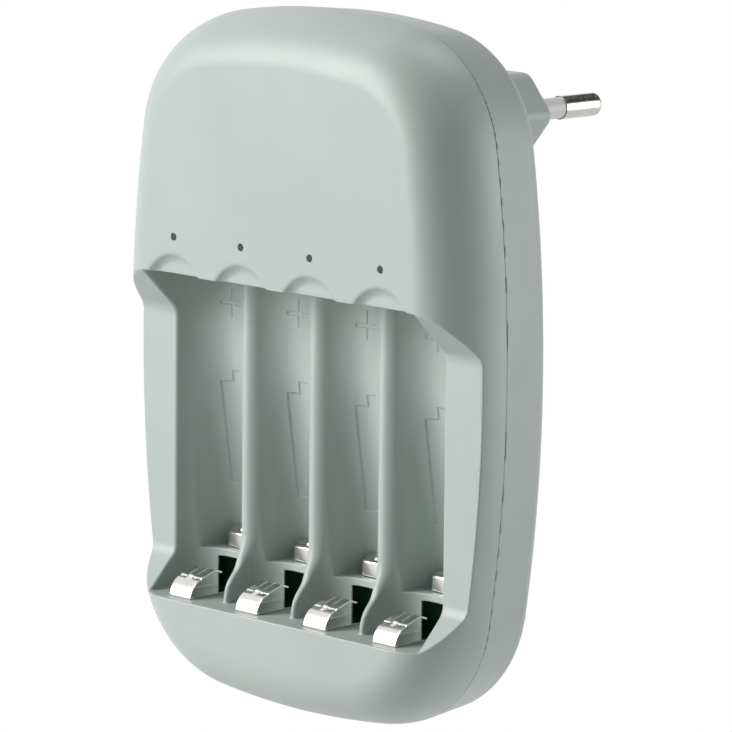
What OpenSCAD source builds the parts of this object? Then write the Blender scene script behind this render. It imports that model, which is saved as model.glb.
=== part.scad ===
// Wall-plug charger for four cells, with cradles for two cell sizes.
// Millimetres. The origin is the centre of the plug's engagement face.
// +Z is up, +Y points into the wall, and the bays open towards -Y.

/* [Cells] */
// Distance between neighbouring cell axes
bay_pitch = 16.2; // [15.8:0.1:18]
// Radius of the cradle for the larger cell
aa_cradle_r = 7.5; // [7.3:0.05:7.6]
// Length of a bay from its lip to its floor
bay_length = 55.2; // [54:0.2:58]
// Depth of the larger cell's axis behind the front face
cell_inset = 6.1; // [5.6:0.1:6.8]
// Radius of the groove for the smaller cell
aaa_groove_r = 5.6; // [5.4:0.05:5.8]
// Lean of the smaller cell's groove
aaa_lean = 8.6; // [7:0.2:10]
// Height of the smaller cell's ledge above the floor
ledge_height = 6.6; // [6.2:0.1:8]

/* [Housing] */
// Distance from the lip up to the top of the body
crown_height = 45.3; // [42:0.5:60]
// Distance from the floor down to the bottom of the body
chin_height = 16.7; // [15:0.5:25]
// Thickness of the cheek beside the outer bays at the widest point
cheek = 9; // [8:0.2:12]
// Depth of the widest point below the top
widest_drop = 58; // [50:1:66]
// Radius of the bowed sides
side_r = 248; // [180:1:400]
// Radius of the bowed top
top_r = 123; // [90:1:200]
// Radius of the bowed bottom
bottom_r = 150; // [100:1:250]
// Radius of the upper corners
upper_corner_r = 22; // [18:0.5:26]
// Radius of the lower corners
lower_corner_r = 23; // [18:0.5:26]
// Depth of the front shell, from its face to the parting line
front_depth = 12.4; // [11.5:0.1:13.5]
// Width of the rounded front edge
front_round = 9; // [7:0.25:10]
// Radius of the back edge
back_round = 3; // [2.5:0.25:4]
// Taper of the rear shell over its depth
rear_taper = 0.8; // [0.4:0.1:1.5]
// Wall thickness of both shells
wall = 2; // [1.6:0.1:2.4]
// Depth of the bevel along the parting line
seam_bevel = 0.2; // [0.1:0.05:0.4]

/* [Bays] */
// Depth of the side walls' cut behind the front face
shelf_inset = 7.6; // [6.5:0.1:8.5]
// Height of the slant below the lip
upper_slant = 7.3; // [6:0.1:9]
// Height of the slant above the floor
lower_slant = 7.9; // [6:0.1:9]
// Rounding where the slants meet the cut
slant_round = 3; // [1:0.5:5]
// Depth of the ribs' front edges behind the front face
rib_inset = 9; // [8:0.1:9.6]
// Depth of the ribs' feet behind the front face
rib_foot_inset = 4.5; // [3.5:0.1:6]
// Height of the curve down to a rib's foot
rib_foot_height = 11.8; // [9:0.1:14]
// Wall of the cradles
cradle_wall = 1.5; // [1.2:0.1:1.8]
// Wall of the smaller cells' grooves
groove_wall = 1.2; // [1:0.1:1.5]
// Radius of the dish above each bay, on the front face
dish_r = 7.2; // [6.5:0.1:7.6]
// Depth of the dish at its middle
dish_depth = 1.4; // [0.8:0.1:1.5]
// Distance of the dish's middle below the lip
dish_drop = 4; // [3.6:0.1:4.6]

/* [Indicators] */
// Diameter of the light windows
window_d = 1.3; // [1:0.1:2]
// Distance of the light windows above the lip
window_rise = 6.2; // [5.6:0.1:8]
// Diameter of the light guides behind the front wall
guide_d = 3; // [2.4:0.1:3.4]
// Length of the lamps
lamp_length = 4.6; // [4:0.1:5]

/* [Contacts] */
// Thickness of the contact strip
strip = 0.3; // [0.2:0.05:0.4]
// Width of the larger cell's contact
aa_strip_w = 5.1; // [4:0.1:6]
// Width of the smaller cell's contact
aaa_strip_w = 4.6; // [3.6:0.1:5]
// Radius of the larger contact's curved front
aa_face_r = 3.5; // [3.2:0.1:4]
// Length of the larger contact's arm
aa_arm = 4.2; // [3.8:0.1:4.6]
// Slope of the larger contact's arm
aa_slope = 19; // [14:1:22]
// Radius of the dome on the larger contact
aa_dome_r = 1; // [0.6:0.1:1.2]
// Radius of the smaller contact's curved front
aaa_face_r = 2.6; // [2.2:0.1:3]
// Length of the smaller contact's arm
aaa_arm = 1.7; // [1.4:0.1:1.8]
// Slope of the smaller contact's arm
aaa_slope = 14; // [10:1:18]
// Radius of the dome on the smaller contact
aaa_dome_r = 0.8; // [0.5:0.1:0.9]
// Depth of the larger contact's bend behind the front face
aa_contact_inset = 1.9; // [1.5:0.1:2.5]
// Depth of the smaller contact's bend behind the front face
aaa_contact_inset = 15; // [14.8:0.1:15.4]
// Height of the window that the larger contact passes through
window_height = 5.3; // [5:0.1:5.6]
// Clearance around loose fits
fit = 0.15; // [0.1:0.05:0.2]

/* [Plug] */
// Distance from the top of the body down to the pin axis
plug_drop = 18.8; // [16:0.2:24]
// Length of the plug boss behind the body
boss_length = 23.6; // [20:0.2:30]
// Width of the plug boss
boss_w = 35.3; // [34:0.1:37]
// Height of the plug boss
boss_h = 13.7; // [13:0.1:15]
// Width of the boss's flat top
boss_flat = 24; // [22:0.5:26]
// Thickness of the boss's end, where the pins are held
boss_end = 8; // [6:0.5:12]
// Distance between the pin axes
pin_pitch = 18.6; // [18:0.1:19.2]
// Diameter of a pin's bare tip
pin_d = 4; // [3.9:0.05:4.1]
// Length of a pin in front of the engagement face
pin_length = 19; // [18.5:0.1:20]
// Length of a pin's bare tip
tip_length = 9; // [8:0.5:10]
// Diameter of a pin's sleeve
sleeve_d = 3.6; // [3.4:0.05:3.8]
// Diameter of a pin's shank inside its sleeve
shank_d = 2.8; // [2.4:0.1:3]
// Rounding of the boss's two side edges
boss_side_r = 2; // [1:0.5:3]
// Rounding of the boss's four flat edges
boss_edge_r = 3; // [1:0.5:4]

/* [Electronics] */
// Thickness of the circuit boards
board = 1.6; // [1.2:0.2:2]
// Depth of the main board's front behind the inner front wall
board_stand = 12.4; // [12:0.1:12.6]
// Margin between the main board and the shell's inside
board_margin = 3; // [2.5:0.5:5]
// Diameter of the posts under the boards
post_d = 4.5; // [3.5:0.5:6]
// Width and height of the transformer's core
core_w = 16; // [14:0.5:18]
// Diameter of the mains capacitor
mains_cap_d = 8; // [6.3:0.1:9]
// Length of the mains capacitor
mains_cap_l = 12; // [10:0.5:13]
// Diameter of the output capacitor
output_cap_d = 6.3; // [5:0.1:8]
// Length of the output capacitor
output_cap_l = 9; // [7:0.5:11]

/* [Hidden] */
$fn = 48;
housing_grey = [0.66, 0.70, 0.67];
metal_grey = [0.80, 0.79, 0.76];
bays = [0:3];
eps = 0.01;
touch = 0.05;
over = 5;

// Side positions of the bays and of the outer bay walls
function bay_x(i) = (i - 1.5) * bay_pitch;
rib = bay_pitch - 2 * aa_cradle_r;
row_half = 2 * bay_pitch - rib / 2;
half_w = row_half + cheek;

// Heights, counted from the pin axis
z_top = plug_drop;
z_lip = z_top - crown_height;
z_floor = z_lip - bay_length;
z_bottom = z_floor - chin_height;
z_ledge = z_floor + ledge_height;
z_widest = z_top - widest_drop;
z_window = z_lip + window_rise;

// Depths, worked out from the groove of the smaller cell to the back and on to the front
rear_gap = 0.7;
groove_reach = (aaa_groove_r + groove_wall) / cos(aaa_lean) + cradle_wall * tan(aaa_lean);
body_depth = cell_inset + aa_cradle_r + groove_reach + rear_gap + wall;
y_back = -boss_length;
y_front = y_back - body_depth;
y_seam = y_front + front_depth;
y_axis = y_front + cell_inset;
y_cradle = y_axis + aa_cradle_r;
y_board = y_front + wall + board_stand;
y_back_inside = y_back - wall;
peg_length = 2.4;
y_contact_board = y_back_inside - peg_length;
tail_y = y_contact_board - board - touch;

// Centres and angles of the arcs that make the body's outline
function meeting_circle(c1, r1, c2, r2, r, side) =
    let (v = c2 - c1, d = norm(v), d1 = r1 - r, d2 = r2 - r)
    let (along = (d1 * d1 - d2 * d2 + d * d) / (2 * d))
    c1 + along * v / d + side * sqrt(d1 * d1 - along * along) * [-v[1], v[0]] / d;
function bearing(from, to) = atan2(to[1] - from[1], to[0] - from[0]);
c_side = [half_w - side_r, z_widest];
c_top = [0, z_top - top_r];
c_bottom = [0, z_bottom + bottom_r];
c_upper = meeting_circle(c_top, top_r, c_side, side_r, upper_corner_r, -1);
c_lower = meeting_circle(c_bottom, bottom_r, c_side, side_r, lower_corner_r, 1);
a_top = bearing(c_top, c_upper);
a_upper = bearing(c_side, c_upper);
a_lower = bearing(c_side, c_lower);
a_bottom = bearing(c_bottom, c_lower);
right_arcs = [
    [c_bottom, bottom_r, -90, a_bottom, 4],
    [c_lower, lower_corner_r, a_bottom, a_lower, 10],
    [c_side, side_r, a_lower, a_upper, 8],
    [c_upper, upper_corner_r, a_upper, a_top, 10],
    [c_top, top_r, a_top, 90, 4]
];

function arc(c, r, from, to, n) =
    [for (i = [0:n - 1]) let (a = from + (to - from) * i / n) c + r * [cos(a), sin(a)]];
function outline(inset) =
    let (right = [for (a = right_arcs) each arc(a[0], a[1] - inset, a[2], a[3], a[4])])
    let (left = [for (i = [len(right) - 1:-1:1]) [-right[i][0], right[i][1]]])
    concat(right, [[0, z_top - inset]], left);

// A closed solid through the outline at each [inset, depth] of a profile
module loft(profile) {
    rings = [for (s = profile) [for (p = outline(s[0])) [p[0], s[1], p[1]]]];
    n = len(rings[0]);
    last = len(rings) - 1;
    walls = [for (j = [0:last - 1], i = [0:n - 1])
        [j * n + i, j * n + (i + 1) % n, (j + 1) * n + (i + 1) % n, (j + 1) * n + i]];
    first_cap = [for (i = [n - 1:-1:0]) i];
    last_cap = [for (i = [0:n - 1]) last * n + i];
    polyhedron([for (r = rings) each r], concat([first_cap], walls, [last_cap]));
}

// Edge profiles of the shells, each point as [inset, depth]
edge_steps = 8;
tongue = 1.4;
function front_edge(grow) =
    [for (i = [0:edge_steps]) let (a = 90 * i / edge_steps)
        [grow + (front_round - grow / 2) * (1 - sin(a)),
         y_seam - (front_depth - grow) * cos(a)]];
function back_edge(grow, r) =
    [for (i = [0:edge_steps / 2]) let (a = 180 * i / edge_steps)
        [rear_taper + grow + r * (1 - cos(a)), y_back - grow - r * (1 - sin(a))]];
function backwards(list) = [for (i = [len(list) - 1:-1:0]) list[i]];
front_outside = concat(
    [for (i = [0:edge_steps - 1]) front_edge(0)[i]],
    [[0, y_seam - 2 * seam_bevel], [seam_bevel, y_seam]]);
front_rim = [[wall / 2, y_seam], [wall / 2, y_seam - tongue], [wall, y_seam - tongue]];
front_inside = [for (i = [edge_steps - 2:-1:0]) front_edge(wall)[i]];
front_profile = concat(front_outside, front_rim, front_inside);
rear_rim = [
    [wall, y_seam - tongue + fit],
    [wall / 2 + fit, y_seam - tongue + fit],
    [wall / 2 + fit, y_seam],
    [seam_bevel, y_seam],
    [0, y_seam + 2 * seam_bevel]
];
rear_profile = concat(
    backwards(back_edge(wall, back_round - wall / 2)), rear_rim, back_edge(0, back_round));

// Corner rounding for outlines drawn as a list of [point, radius]
function unit(v) = v / norm(v);
function rounded_corner(before, at, after, r) =
    r == 0 ? [at] :
    let (u = unit(before - at), v = unit(after - at), half = acos(u * v) / 2)
    let (c = at + unit(u + v) * r / sin(half))
    let (a0 = bearing(c, at + u * r / tan(half)))
    let (turn = (u[0] * v[1] - u[1] * v[0] > 0 ? -1 : 1) * (180 - 2 * half))
    [for (i = [0:6]) c + r * [cos(a0 + turn * i / 6), sin(a0 + turn * i / 6)]];
function rounded(corners) =
    let (n = len(corners))
    [for (i = [0:n - 1])
        each rounded_corner(corners[(i + n - 1) % n][0], corners[i][0],
            corners[(i + 1) % n][0], corners[i][1])];

// Shapes drawn in one plane and extruded along an axis
module along_x(length) rotate([90, 0, 90]) linear_extrude(length, center = true) children();
module along_y(from, to) translate([0, to, 0]) rotate([90, 0, 0]) linear_extrude(to - from) children();
module box(low, high) translate(low) cube(high - low);
module rod_y(x, z, from, to, d)
    translate([x, from, z]) rotate([-90, 0, 0]) cylinder(d = d, h = to - from);

// Front housing: shell, cradles and ribs moulded as one piece
module at_groove(i) translate([bay_x(i), y_cradle, z_ledge]) rotate([aaa_lean, 0, 0]) children();
module above(z) intersection() {
    children();
    box([-half_w, y_front - over, z], [half_w, y_back, z_lip]);
}

module bay_solid() {
    intersection() {
        loft(concat([for (i = [0:edge_steps - 1]) front_edge(wall / 2)[i]], [[wall / 2, y_seam]]));
        box([-half_w, y_front, z_floor - wall], [half_w, y_seam - tongue, z_lip + wall]);
    }
    for (i = bays) {
        intersection() {
            translate([bay_x(i), y_axis, z_floor - wall])
                cylinder(r = aa_cradle_r + cradle_wall, h = bay_length + 2 * wall);
            box([-half_w, y_axis, z_bottom], [half_w, y_back, z_top]);
        }
        above(z_ledge - cradle_wall) at_groove(i)
            translate([0, 0, -bay_length / 2])
            cylinder(r = aaa_groove_r + groove_wall, h = bay_length + over);
    }
}

opening_corners = [
    [[y_front - over, z_lip], 0],
    [[y_front, z_lip], 0],
    [[y_front + shelf_inset, z_lip - upper_slant], slant_round],
    [[y_front + shelf_inset, z_floor + lower_slant], slant_round],
    [[y_front, z_floor], 0],
    [[y_front - over, z_floor], 0]
];

// The curve of a rib's foot is two equal arcs, bent opposite ways
foot_step = (rib_inset - rib_foot_inset) / 2;
foot_r = (pow(foot_step, 2) + pow(rib_foot_height / 2, 2)) / (2 * foot_step);
foot_angle = asin(rib_foot_height / 2 / foot_r);
y_rib = y_front + rib_inset;
y_foot = y_front + rib_foot_inset;
foot_steps = 6;
rib_edge = concat(
    [for (i = [0:foot_steps]) let (a = foot_angle * i / foot_steps)
        [y_rib - foot_r * (1 - cos(a)), z_floor + rib_foot_height - foot_r * sin(a)]],
    [for (i = [foot_steps - 1:-1:0]) let (a = foot_angle * i / foot_steps)
        [y_foot + foot_r * (1 - cos(a)), z_floor + foot_r * sin(a)]]);

module bay_space() {
    along_x(2 * half_w + 2 * over) polygon(rounded(opening_corners));
    y_clear = y_front - over;
    along_x(2 * row_half) polygon(concat([[y_clear, z_floor], [y_clear, z_lip], [y_rib, z_lip]], rib_edge));
    for (i = bays) translate([bay_x(i), y_axis, z_floor]) {
        cylinder(r = aa_cradle_r, h = bay_length);
        box([-aa_cradle_r, -cell_inset - over, 0], [aa_cradle_r, 0, bay_length]);
    }
    for (i = bays)
        above(z_ledge) at_groove(i) translate([0, 0, -bay_length / 2])
            cylinder(r = aaa_groove_r, h = bay_length + over);
}

// Radius of the ball that cuts or makes a cap of a given foot radius and height
function cap_ball(r, h) = (r * r + h * h) / (2 * h);
dish_ball = cap_ball(dish_r, dish_depth);
tab_inset = 4;
tab_y = y_axis + tab_inset;
tab_w = 3;
tab_rise = 1.6;
z_tab = z_lip + wall + tab_rise;
module bay_openings() {
    for (i = bays) translate([bay_x(i), 0, 0]) {
        // Window at the floor for the larger cell's contact
        box([-aa_strip_w / 2 - fit, y_axis, z_floor],
            [aa_strip_w / 2 + fit, y_cradle + 2 * cradle_wall, z_floor + window_height]);
        // Slot in the ledge for the smaller cell's contact
        box([-aaa_strip_w / 2 - fit, tail_y - strip - fit, z_ledge - 2 * cradle_wall],
            [aaa_strip_w / 2 + fit, tail_y + fit, z_ledge + eps]);
        // Slot in the end wall for the positive contact's tab
        box([-tab_w / 2 - fit, tab_y - fit, z_lip - eps],
            [tab_w / 2 + fit, tab_y + strip + fit, z_lip + 2 * wall]);
        // Light window and the shallow dish on the front face
        rod_y(0, z_window, y_front - over, y_front + 2 * wall, window_d);
        translate([0, y_front + dish_depth - dish_ball, z_lip - dish_drop]) sphere(r = dish_ball);
    }
}

upper_post_x = 23;
upper_post_drop = 15;
lower_post_x = 32;
lower_post_rise = 8;
post_spots = [for (side = [-1, 1]) each [
    [side * upper_post_x, z_top - upper_post_drop],
    [side * lower_post_x, z_lip + lower_post_rise]
]];
module front_housing() color(housing_grey) {
    difference() {
        union() {
            loft(front_profile);
            bay_solid();
        }
        bay_space();
        bay_openings();
    }
    for (p = post_spots) rod_y(p[0], p[1], y_front + wall / 2, y_board, post_d);
}

// Rear housing: shell and plug boss moulded as one piece
function boss_corners(inset) = [
    [[boss_w / 2 - inset, 0], boss_side_r],
    [[boss_flat / 2 - inset / 2, boss_h / 2 - inset], boss_edge_r],
    [[-boss_flat / 2 + inset / 2, boss_h / 2 - inset], boss_edge_r],
    [[-boss_w / 2 + inset, 0], boss_side_r],
    [[-boss_flat / 2 + inset / 2, -boss_h / 2 + inset], boss_edge_r],
    [[boss_flat / 2 - inset / 2, -boss_h / 2 + inset], boss_edge_r]
];
sleeve_seat = 2;
peg_x = 22;
peg_drop = 6;
module rear_housing() color(housing_grey) {
    difference() {
        union() {
            loft(rear_profile);
            along_y(y_back_inside + eps, 0) polygon(rounded(boss_corners(0)));
        }
        along_y(y_back_inside - over, -boss_end) polygon(rounded(boss_corners(wall)));
        for (side = [-1, 1]) {
            rod_y(side * pin_pitch / 2, 0, -boss_end - over, over, shank_d + 2 * touch);
            rod_y(side * pin_pitch / 2, 0, -sleeve_seat - touch, over, sleeve_d + 2 * touch);
        }
    }
    for (side = [-1, 1])
        rod_y(side * peg_x, z_floor - peg_drop, y_contact_board, y_back_inside + wall / 2, post_d);
}

// Plug pins with their insulating sleeves
pin_inside = 4;
tip_round = 1;
module plug_pin(side) color(metal_grey) translate([side * pin_pitch / 2, 0, 0]) {
    rod_y(0, 0, -boss_end - pin_inside, pin_length - tip_length + eps, shank_d);
    translate([0, pin_length - tip_length, 0]) rotate([-90, 0, 0]) rotate_extrude()
        polygon(concat([[0, 0], [pin_d / 2, 0]],
            arc([pin_d / 2 - tip_round, tip_length - tip_round], tip_round, 0, 90, 6), [[0, tip_length]]));
}
module pin_sleeve(side) color("whitesmoke") translate([side * pin_pitch / 2, 0, 0]) difference() {
    rod_y(0, 0, -sleeve_seat, pin_length - tip_length - touch, sleeve_d);
    rod_y(0, 0, -over, pin_length, shank_d + 2 * touch);
}
pin_strip_w = 4;
module pin_strip(side) color("goldenrod") translate([side * pin_pitch / 2, 0, 0])
    box([-strip, y_board + board, -pin_strip_w / 2],
        [strip, -boss_end - pin_inside - touch, pin_strip_w / 2]);

// Sprung contacts, each folded from one strip
// A path is thickened to a band by stepping along its normals
function path_normal(p, i) =
    let (a = p[max(i - 1, 0)], b = p[min(i + 1, len(p) - 1)], d = unit(b - a)) [-d[1], d[0]];
function band(p, t) = concat(p, [for (i = [len(p) - 1:-1:0]) p[i] - t * path_normal(p, i)]);

fold_r = 0.45;
lean_back = 10;
face_turn = 48;
tail_dip = 18;
dome_h = 0.35;
dome_shift = 0.45;
slit = 0.35;
slit_margin = 0.5;
module fold_sector(w)
    rotate_extrude(angle = 90 + lean_back) translate([fold_r - strip, 0]) square([strip, w]);

// w is the strip's width, and slits holds the side positions of the slits that part the arm into fingers
module sprung_contact(w, face_r, arm, slope, tail, leg, dome_r, slits) {
    start_angle = 180 - lean_back;
    start = fold_r * [cos(start_angle), sin(start_angle)];
    centre = start + face_r * [cos(lean_back), -sin(lean_back)];
    face = arc(centre, face_r, start_angle, start_angle - face_turn, 8);
    knee = centre + face_r * [cos(start_angle - face_turn), sin(start_angle - face_turn)];
    crest = knee + arm * [cos(slope), sin(slope)];
    end = crest + tail * [cos(tail_dip), -sin(tail_dip)];
    first_slit = dome_shift + dome_r + slit_margin;
    difference() {
        along_x(w) polygon(band(concat(face, [knee, crest, end]), strip));
        for (x = slits) translate([x, knee[0], knee[1]]) rotate([slope, 0, 0])
            box([-slit / 2, first_slit, -2 * strip], [slit / 2, arm - slit_margin, 2 * strip]);
    }
    // Pressed dome where the cell's end touches
    translate([0, knee[0], knee[1]]) rotate([slope, 0, 0]) intersection() {
        translate([0, dome_shift, dome_h - cap_ball(dome_r, dome_h)]) sphere(r = cap_ball(dome_r, dome_h));
        box([-w, -w, -strip / 2], [w, w, w]);
    }
    // Fold at the front, round on the hinge line, and the leg along the floor
    rotate([0, 90, 0]) rotate([0, 0, start_angle - 270]) translate([0, 0, -w / 2]) fold_sector(w);
    translate([-w / 2, 0, -fold_r]) cube([w, leg, strip]);
}

aa_hinge = [y_front + aa_contact_inset + fold_r, z_floor + fold_r + touch];
aaa_hinge = [y_front + aaa_contact_inset + fold_r, z_ledge + fold_r + touch];
aa_tail = 1.7;
aaa_tail = 0.6;
module aa_contact(i) color(metal_grey) translate([bay_x(i), aa_hinge[0], aa_hinge[1]])
    sprung_contact(aa_strip_w, aa_face_r, aa_arm, aa_slope, aa_tail, tail_y - aa_hinge[0], aa_dome_r,
        [-aa_strip_w / 6, aa_strip_w / 6]);
module aaa_contact(i) color(metal_grey) translate([bay_x(i), aaa_hinge[0], aaa_hinge[1]]) {
    leg = tail_y - aaa_hinge[0];
    sprung_contact(aaa_strip_w, aaa_face_r, aaa_arm, aaa_slope, aaa_tail, leg, aaa_dome_r, []);
    box([-aaa_strip_w / 2, leg - strip, -fold_r - ledge_height / 2],
        [aaa_strip_w / 2, leg, strip - fold_r]);
}

// Fixed positive contacts at the tops of the bays, each with a tab up to the main board
plate_w = 6.4;
module positive_contact(i) color(metal_grey) translate([bay_x(i), 0, 0]) {
    box([-plate_w / 2, y_axis - plate_w / 2, z_lip - strip], [plate_w / 2, tab_y + strip, z_lip]);
    box([-tab_w / 2, tab_y, z_lip - eps], [tab_w / 2, tab_y + strip, z_tab]);
    box([-tab_w / 2, tab_y, z_tab - strip], [tab_w / 2, y_board - touch, z_tab]);
}

// Light guides and lamps
y_lamp = y_board - lamp_length;
module light_guide(i) color("dimgray") {
    rod_y(bay_x(i), z_window, y_front + touch, y_lamp - touch, window_d - 2 * touch);
    rod_y(bay_x(i), z_window, y_front + wall + touch, y_lamp - touch, guide_d);
}
module charge_lamp(i) color("lightgreen") translate([bay_x(i), y_board - touch, z_window])
    rotate([90, 0, 0]) {
        cylinder(d = guide_d, h = lamp_length - guide_d / 2 - touch);
        translate([0, 0, lamp_length - guide_d / 2 - touch]) sphere(d = guide_d);
    }

// Circuit boards, cut to the outline of the shell's inside
board_foot = 1;
module board_blank(from, low, high) intersection() {
    along_y(from, from + board) polygon(outline(rear_taper + wall + board_margin));
    box([-half_w, from - over, low], [half_w, from + over, high]);
}
module main_board() color("darkgreen") board_blank(y_board, z_lip + wall + board_foot, z_top);
module contact_board() color("darkgreen") intersection() {
    board_blank(y_contact_board - board, z_floor - peg_drop - post_d, z_ledge - cradle_wall - board_foot);
    box([-row_half, y_front, z_bottom], [row_half, 0, z_top]);
}

// Parts on the front of the main board, with their places counted from the lip or from the top
core_h = 11;
core_t = 5;
core_leg = core_w / 4;
core_spot = [-12, 21];
cap_x = 6;
mains_cap_rise = 26;
output_cap_rise = 14;
inlet_drop = 9;
bridge = [8.4, 3, 6];
resistor_d = 3;
resistor_l = 9;
resistor_x = -15;
chip = [5, 1.5, 4];
chip_spot = [20, 12];
module on_board(x, z) translate([x, y_board - touch, z]) children();
module package(size) box([-size[0] / 2, -size[1], -size[2] / 2], [size[0] / 2, 0, size[2] / 2]);
module can(d, l) translate([0, -d / 2, 0]) rotate([0, 90, 0]) cylinder(d = d, h = l);

module transformer_core() color("dimgray") on_board(core_spot[0], z_lip + core_spot[1]) difference() {
    package([core_w, core_h, core_t]);
    for (side = [-1, 1]) translate([side * core_leg * 5 / 4, -core_leg / 2, 0])
        package([core_leg * 3 / 2, core_h - core_leg, 2 * core_t]);
}
module transformer_winding() color("gold") on_board(core_spot[0], z_lip + core_spot[1]) difference() {
    translate([0, -core_leg / 2 - fit, 0])
        package([3 * core_leg - 2 * fit, core_h - core_leg - 2 * fit, 2 * core_t]);
    package([core_leg + 2 * fit, core_h, core_t + 2 * fit]);
}
module mains_capacitor() color("black")
    on_board(cap_x, z_lip + mains_cap_rise) can(mains_cap_d, mains_cap_l);
module output_capacitor() color("navy")
    on_board(cap_x, z_lip + output_cap_rise) can(output_cap_d, output_cap_l);
module bridge_rectifier() color("black") on_board(0, z_top - inlet_drop) package(bridge);
module fuse_resistor() color("tan") on_board(resistor_x, z_top - inlet_drop) can(resistor_d, resistor_l);
module controller_chip() color("black") on_board(chip_spot[0], z_lip + chip_spot[1]) package(chip);

front_housing();
rear_housing();
main_board();
contact_board();
plug_pin(-1);  // plug_pin_left
plug_pin(1);  // plug_pin_right
pin_sleeve(-1);  // pin_sleeve_left
pin_sleeve(1);  // pin_sleeve_right
pin_strip(-1);  // pin_strip_left
pin_strip(1);  // pin_strip_right
aa_contact(0);  // aa_contact_1
aa_contact(1);  // aa_contact_2
aa_contact(2);  // aa_contact_3
aa_contact(3);  // aa_contact_4
aaa_contact(0);  // aaa_contact_1
aaa_contact(1);  // aaa_contact_2
aaa_contact(2);  // aaa_contact_3
aaa_contact(3);  // aaa_contact_4
positive_contact(0);  // positive_contact_1
positive_contact(1);  // positive_contact_2
positive_contact(2);  // positive_contact_3
positive_contact(3);  // positive_contact_4
light_guide(0);  // light_guide_1
light_guide(1);  // light_guide_2
light_guide(2);  // light_guide_3
light_guide(3);  // light_guide_4
charge_lamp(0);  // charge_lamp_1
charge_lamp(1);  // charge_lamp_2
charge_lamp(2);  // charge_lamp_3
charge_lamp(3);  // charge_lamp_4
transformer_core();
transformer_winding();
mains_capacitor();
output_capacitor();
bridge_rectifier();
fuse_resistor();
controller_chip();
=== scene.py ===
# Wall-plug charger for four cells: the looks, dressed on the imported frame.
# Meshes are worked out in millimetres in the frame's own axes and set down in metres.
import math

import bmesh
import bpy
import numpy as np
import openvdb
from mathutils import Matrix, Vector


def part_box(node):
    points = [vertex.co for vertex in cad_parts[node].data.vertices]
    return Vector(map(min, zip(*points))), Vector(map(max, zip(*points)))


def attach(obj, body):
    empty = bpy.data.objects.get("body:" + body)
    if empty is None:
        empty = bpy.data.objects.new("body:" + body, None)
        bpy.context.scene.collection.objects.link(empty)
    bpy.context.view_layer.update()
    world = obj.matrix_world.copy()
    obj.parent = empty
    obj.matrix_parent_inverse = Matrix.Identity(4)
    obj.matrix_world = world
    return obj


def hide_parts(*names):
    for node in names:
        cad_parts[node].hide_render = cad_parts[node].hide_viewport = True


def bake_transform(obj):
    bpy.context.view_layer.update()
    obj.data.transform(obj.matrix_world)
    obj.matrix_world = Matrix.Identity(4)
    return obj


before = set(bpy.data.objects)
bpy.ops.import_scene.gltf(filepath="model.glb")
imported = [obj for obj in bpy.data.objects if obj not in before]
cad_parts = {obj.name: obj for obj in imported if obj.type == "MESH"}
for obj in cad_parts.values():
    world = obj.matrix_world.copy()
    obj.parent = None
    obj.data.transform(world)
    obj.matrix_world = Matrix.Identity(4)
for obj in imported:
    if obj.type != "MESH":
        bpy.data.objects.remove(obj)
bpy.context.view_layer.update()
MM = 0.001


# Camera
# The photograph looks at the charger's right front corner from a little above, through a long lens.
# Azimuth 0 looks along +Y, and the roll is the slight tilt of the photograph.
photo_width = 732
focal_px = 5052.2
camera_azimuth = math.radians(45.29)
camera_elevation = math.radians(9.6)
camera_roll = math.radians(0.61)
camera_distance = 0.8078
camera_target = Vector((0.0214, -0.0470, -0.03617))


def direction(azimuth, elevation):
    """The way from the object to a camera or lamp at that azimuth and elevation."""
    flat = math.cos(elevation)
    return Vector((math.sin(azimuth) * flat, -math.cos(azimuth) * flat, math.sin(elevation)))


to_camera = direction(camera_azimuth, camera_elevation)
level = Vector((math.cos(camera_azimuth), math.sin(camera_azimuth), 0))
upright = to_camera.cross(level)
picture_right = level * math.cos(camera_roll) + upright * math.sin(camera_roll)
picture_up = upright * math.cos(camera_roll) - level * math.sin(camera_roll)

camera_data = bpy.data.cameras.new("camera")
camera_data.lens = camera_data.sensor_width * focal_px / photo_width
camera_data.clip_start = 0.01
camera = bpy.data.objects.new("camera", camera_data)
camera.matrix_world = Matrix.Translation(camera_target + to_camera * camera_distance) @ Matrix(
    (picture_right, picture_up, to_camera)).transposed().to_4x4()
bpy.context.scene.collection.objects.link(camera)
bpy.context.scene.camera = camera


# Front housing
# One injection moulding in satin grey-green plastic: a rounded face, four bays with ribs between them,
# a shallow dish above each bay, and signs sunk in the bays. It is welded to the rear housing.
bay_pitch = 16.2
bay_count = 4
aa_cradle_r = 7.5
cell_inset = 6.1
aaa_groove_r = 5.6
aaa_lean = math.radians(8.6)
cradle_wall = 1.5
groove_wall = 1.2

z_top = 18.8
z_lip = -26.65
z_floor = -81.7
z_ledge = -75.1
z_bottom = -98.4
z_widest = -39.2
z_window = -20.3
half_w = 40.8
y_back = -23.6
y_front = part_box("front_housing")[0].y / MM
front_depth = 12.4
front_round = 9
wall = 2
tongue = 1.4
y_seam = y_front + front_depth
y_axis = y_front + cell_inset
y_cradle = y_axis + aa_cradle_r

side_r = 248
top_r = 123
bottom_r = 150
upper_corner_r = 22
lower_corner_r = 23


def meeting_circle(c1, r1, c2, r2, r, side):
    """Centre of a circle of radius r that touches two larger circles from inside."""
    across = c2 - c1
    gap = np.hypot(*across)
    along = ((r1 - r) ** 2 - (r2 - r) ** 2 + gap ** 2) / (2 * gap)
    off = side * math.sqrt((r1 - r) ** 2 - along ** 2)
    return c1 + (along * across + off * np.array((-across[1], across[0]))) / gap


def bearing(start, end):
    return math.atan2(end[1] - start[1], end[0] - start[0])


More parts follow.
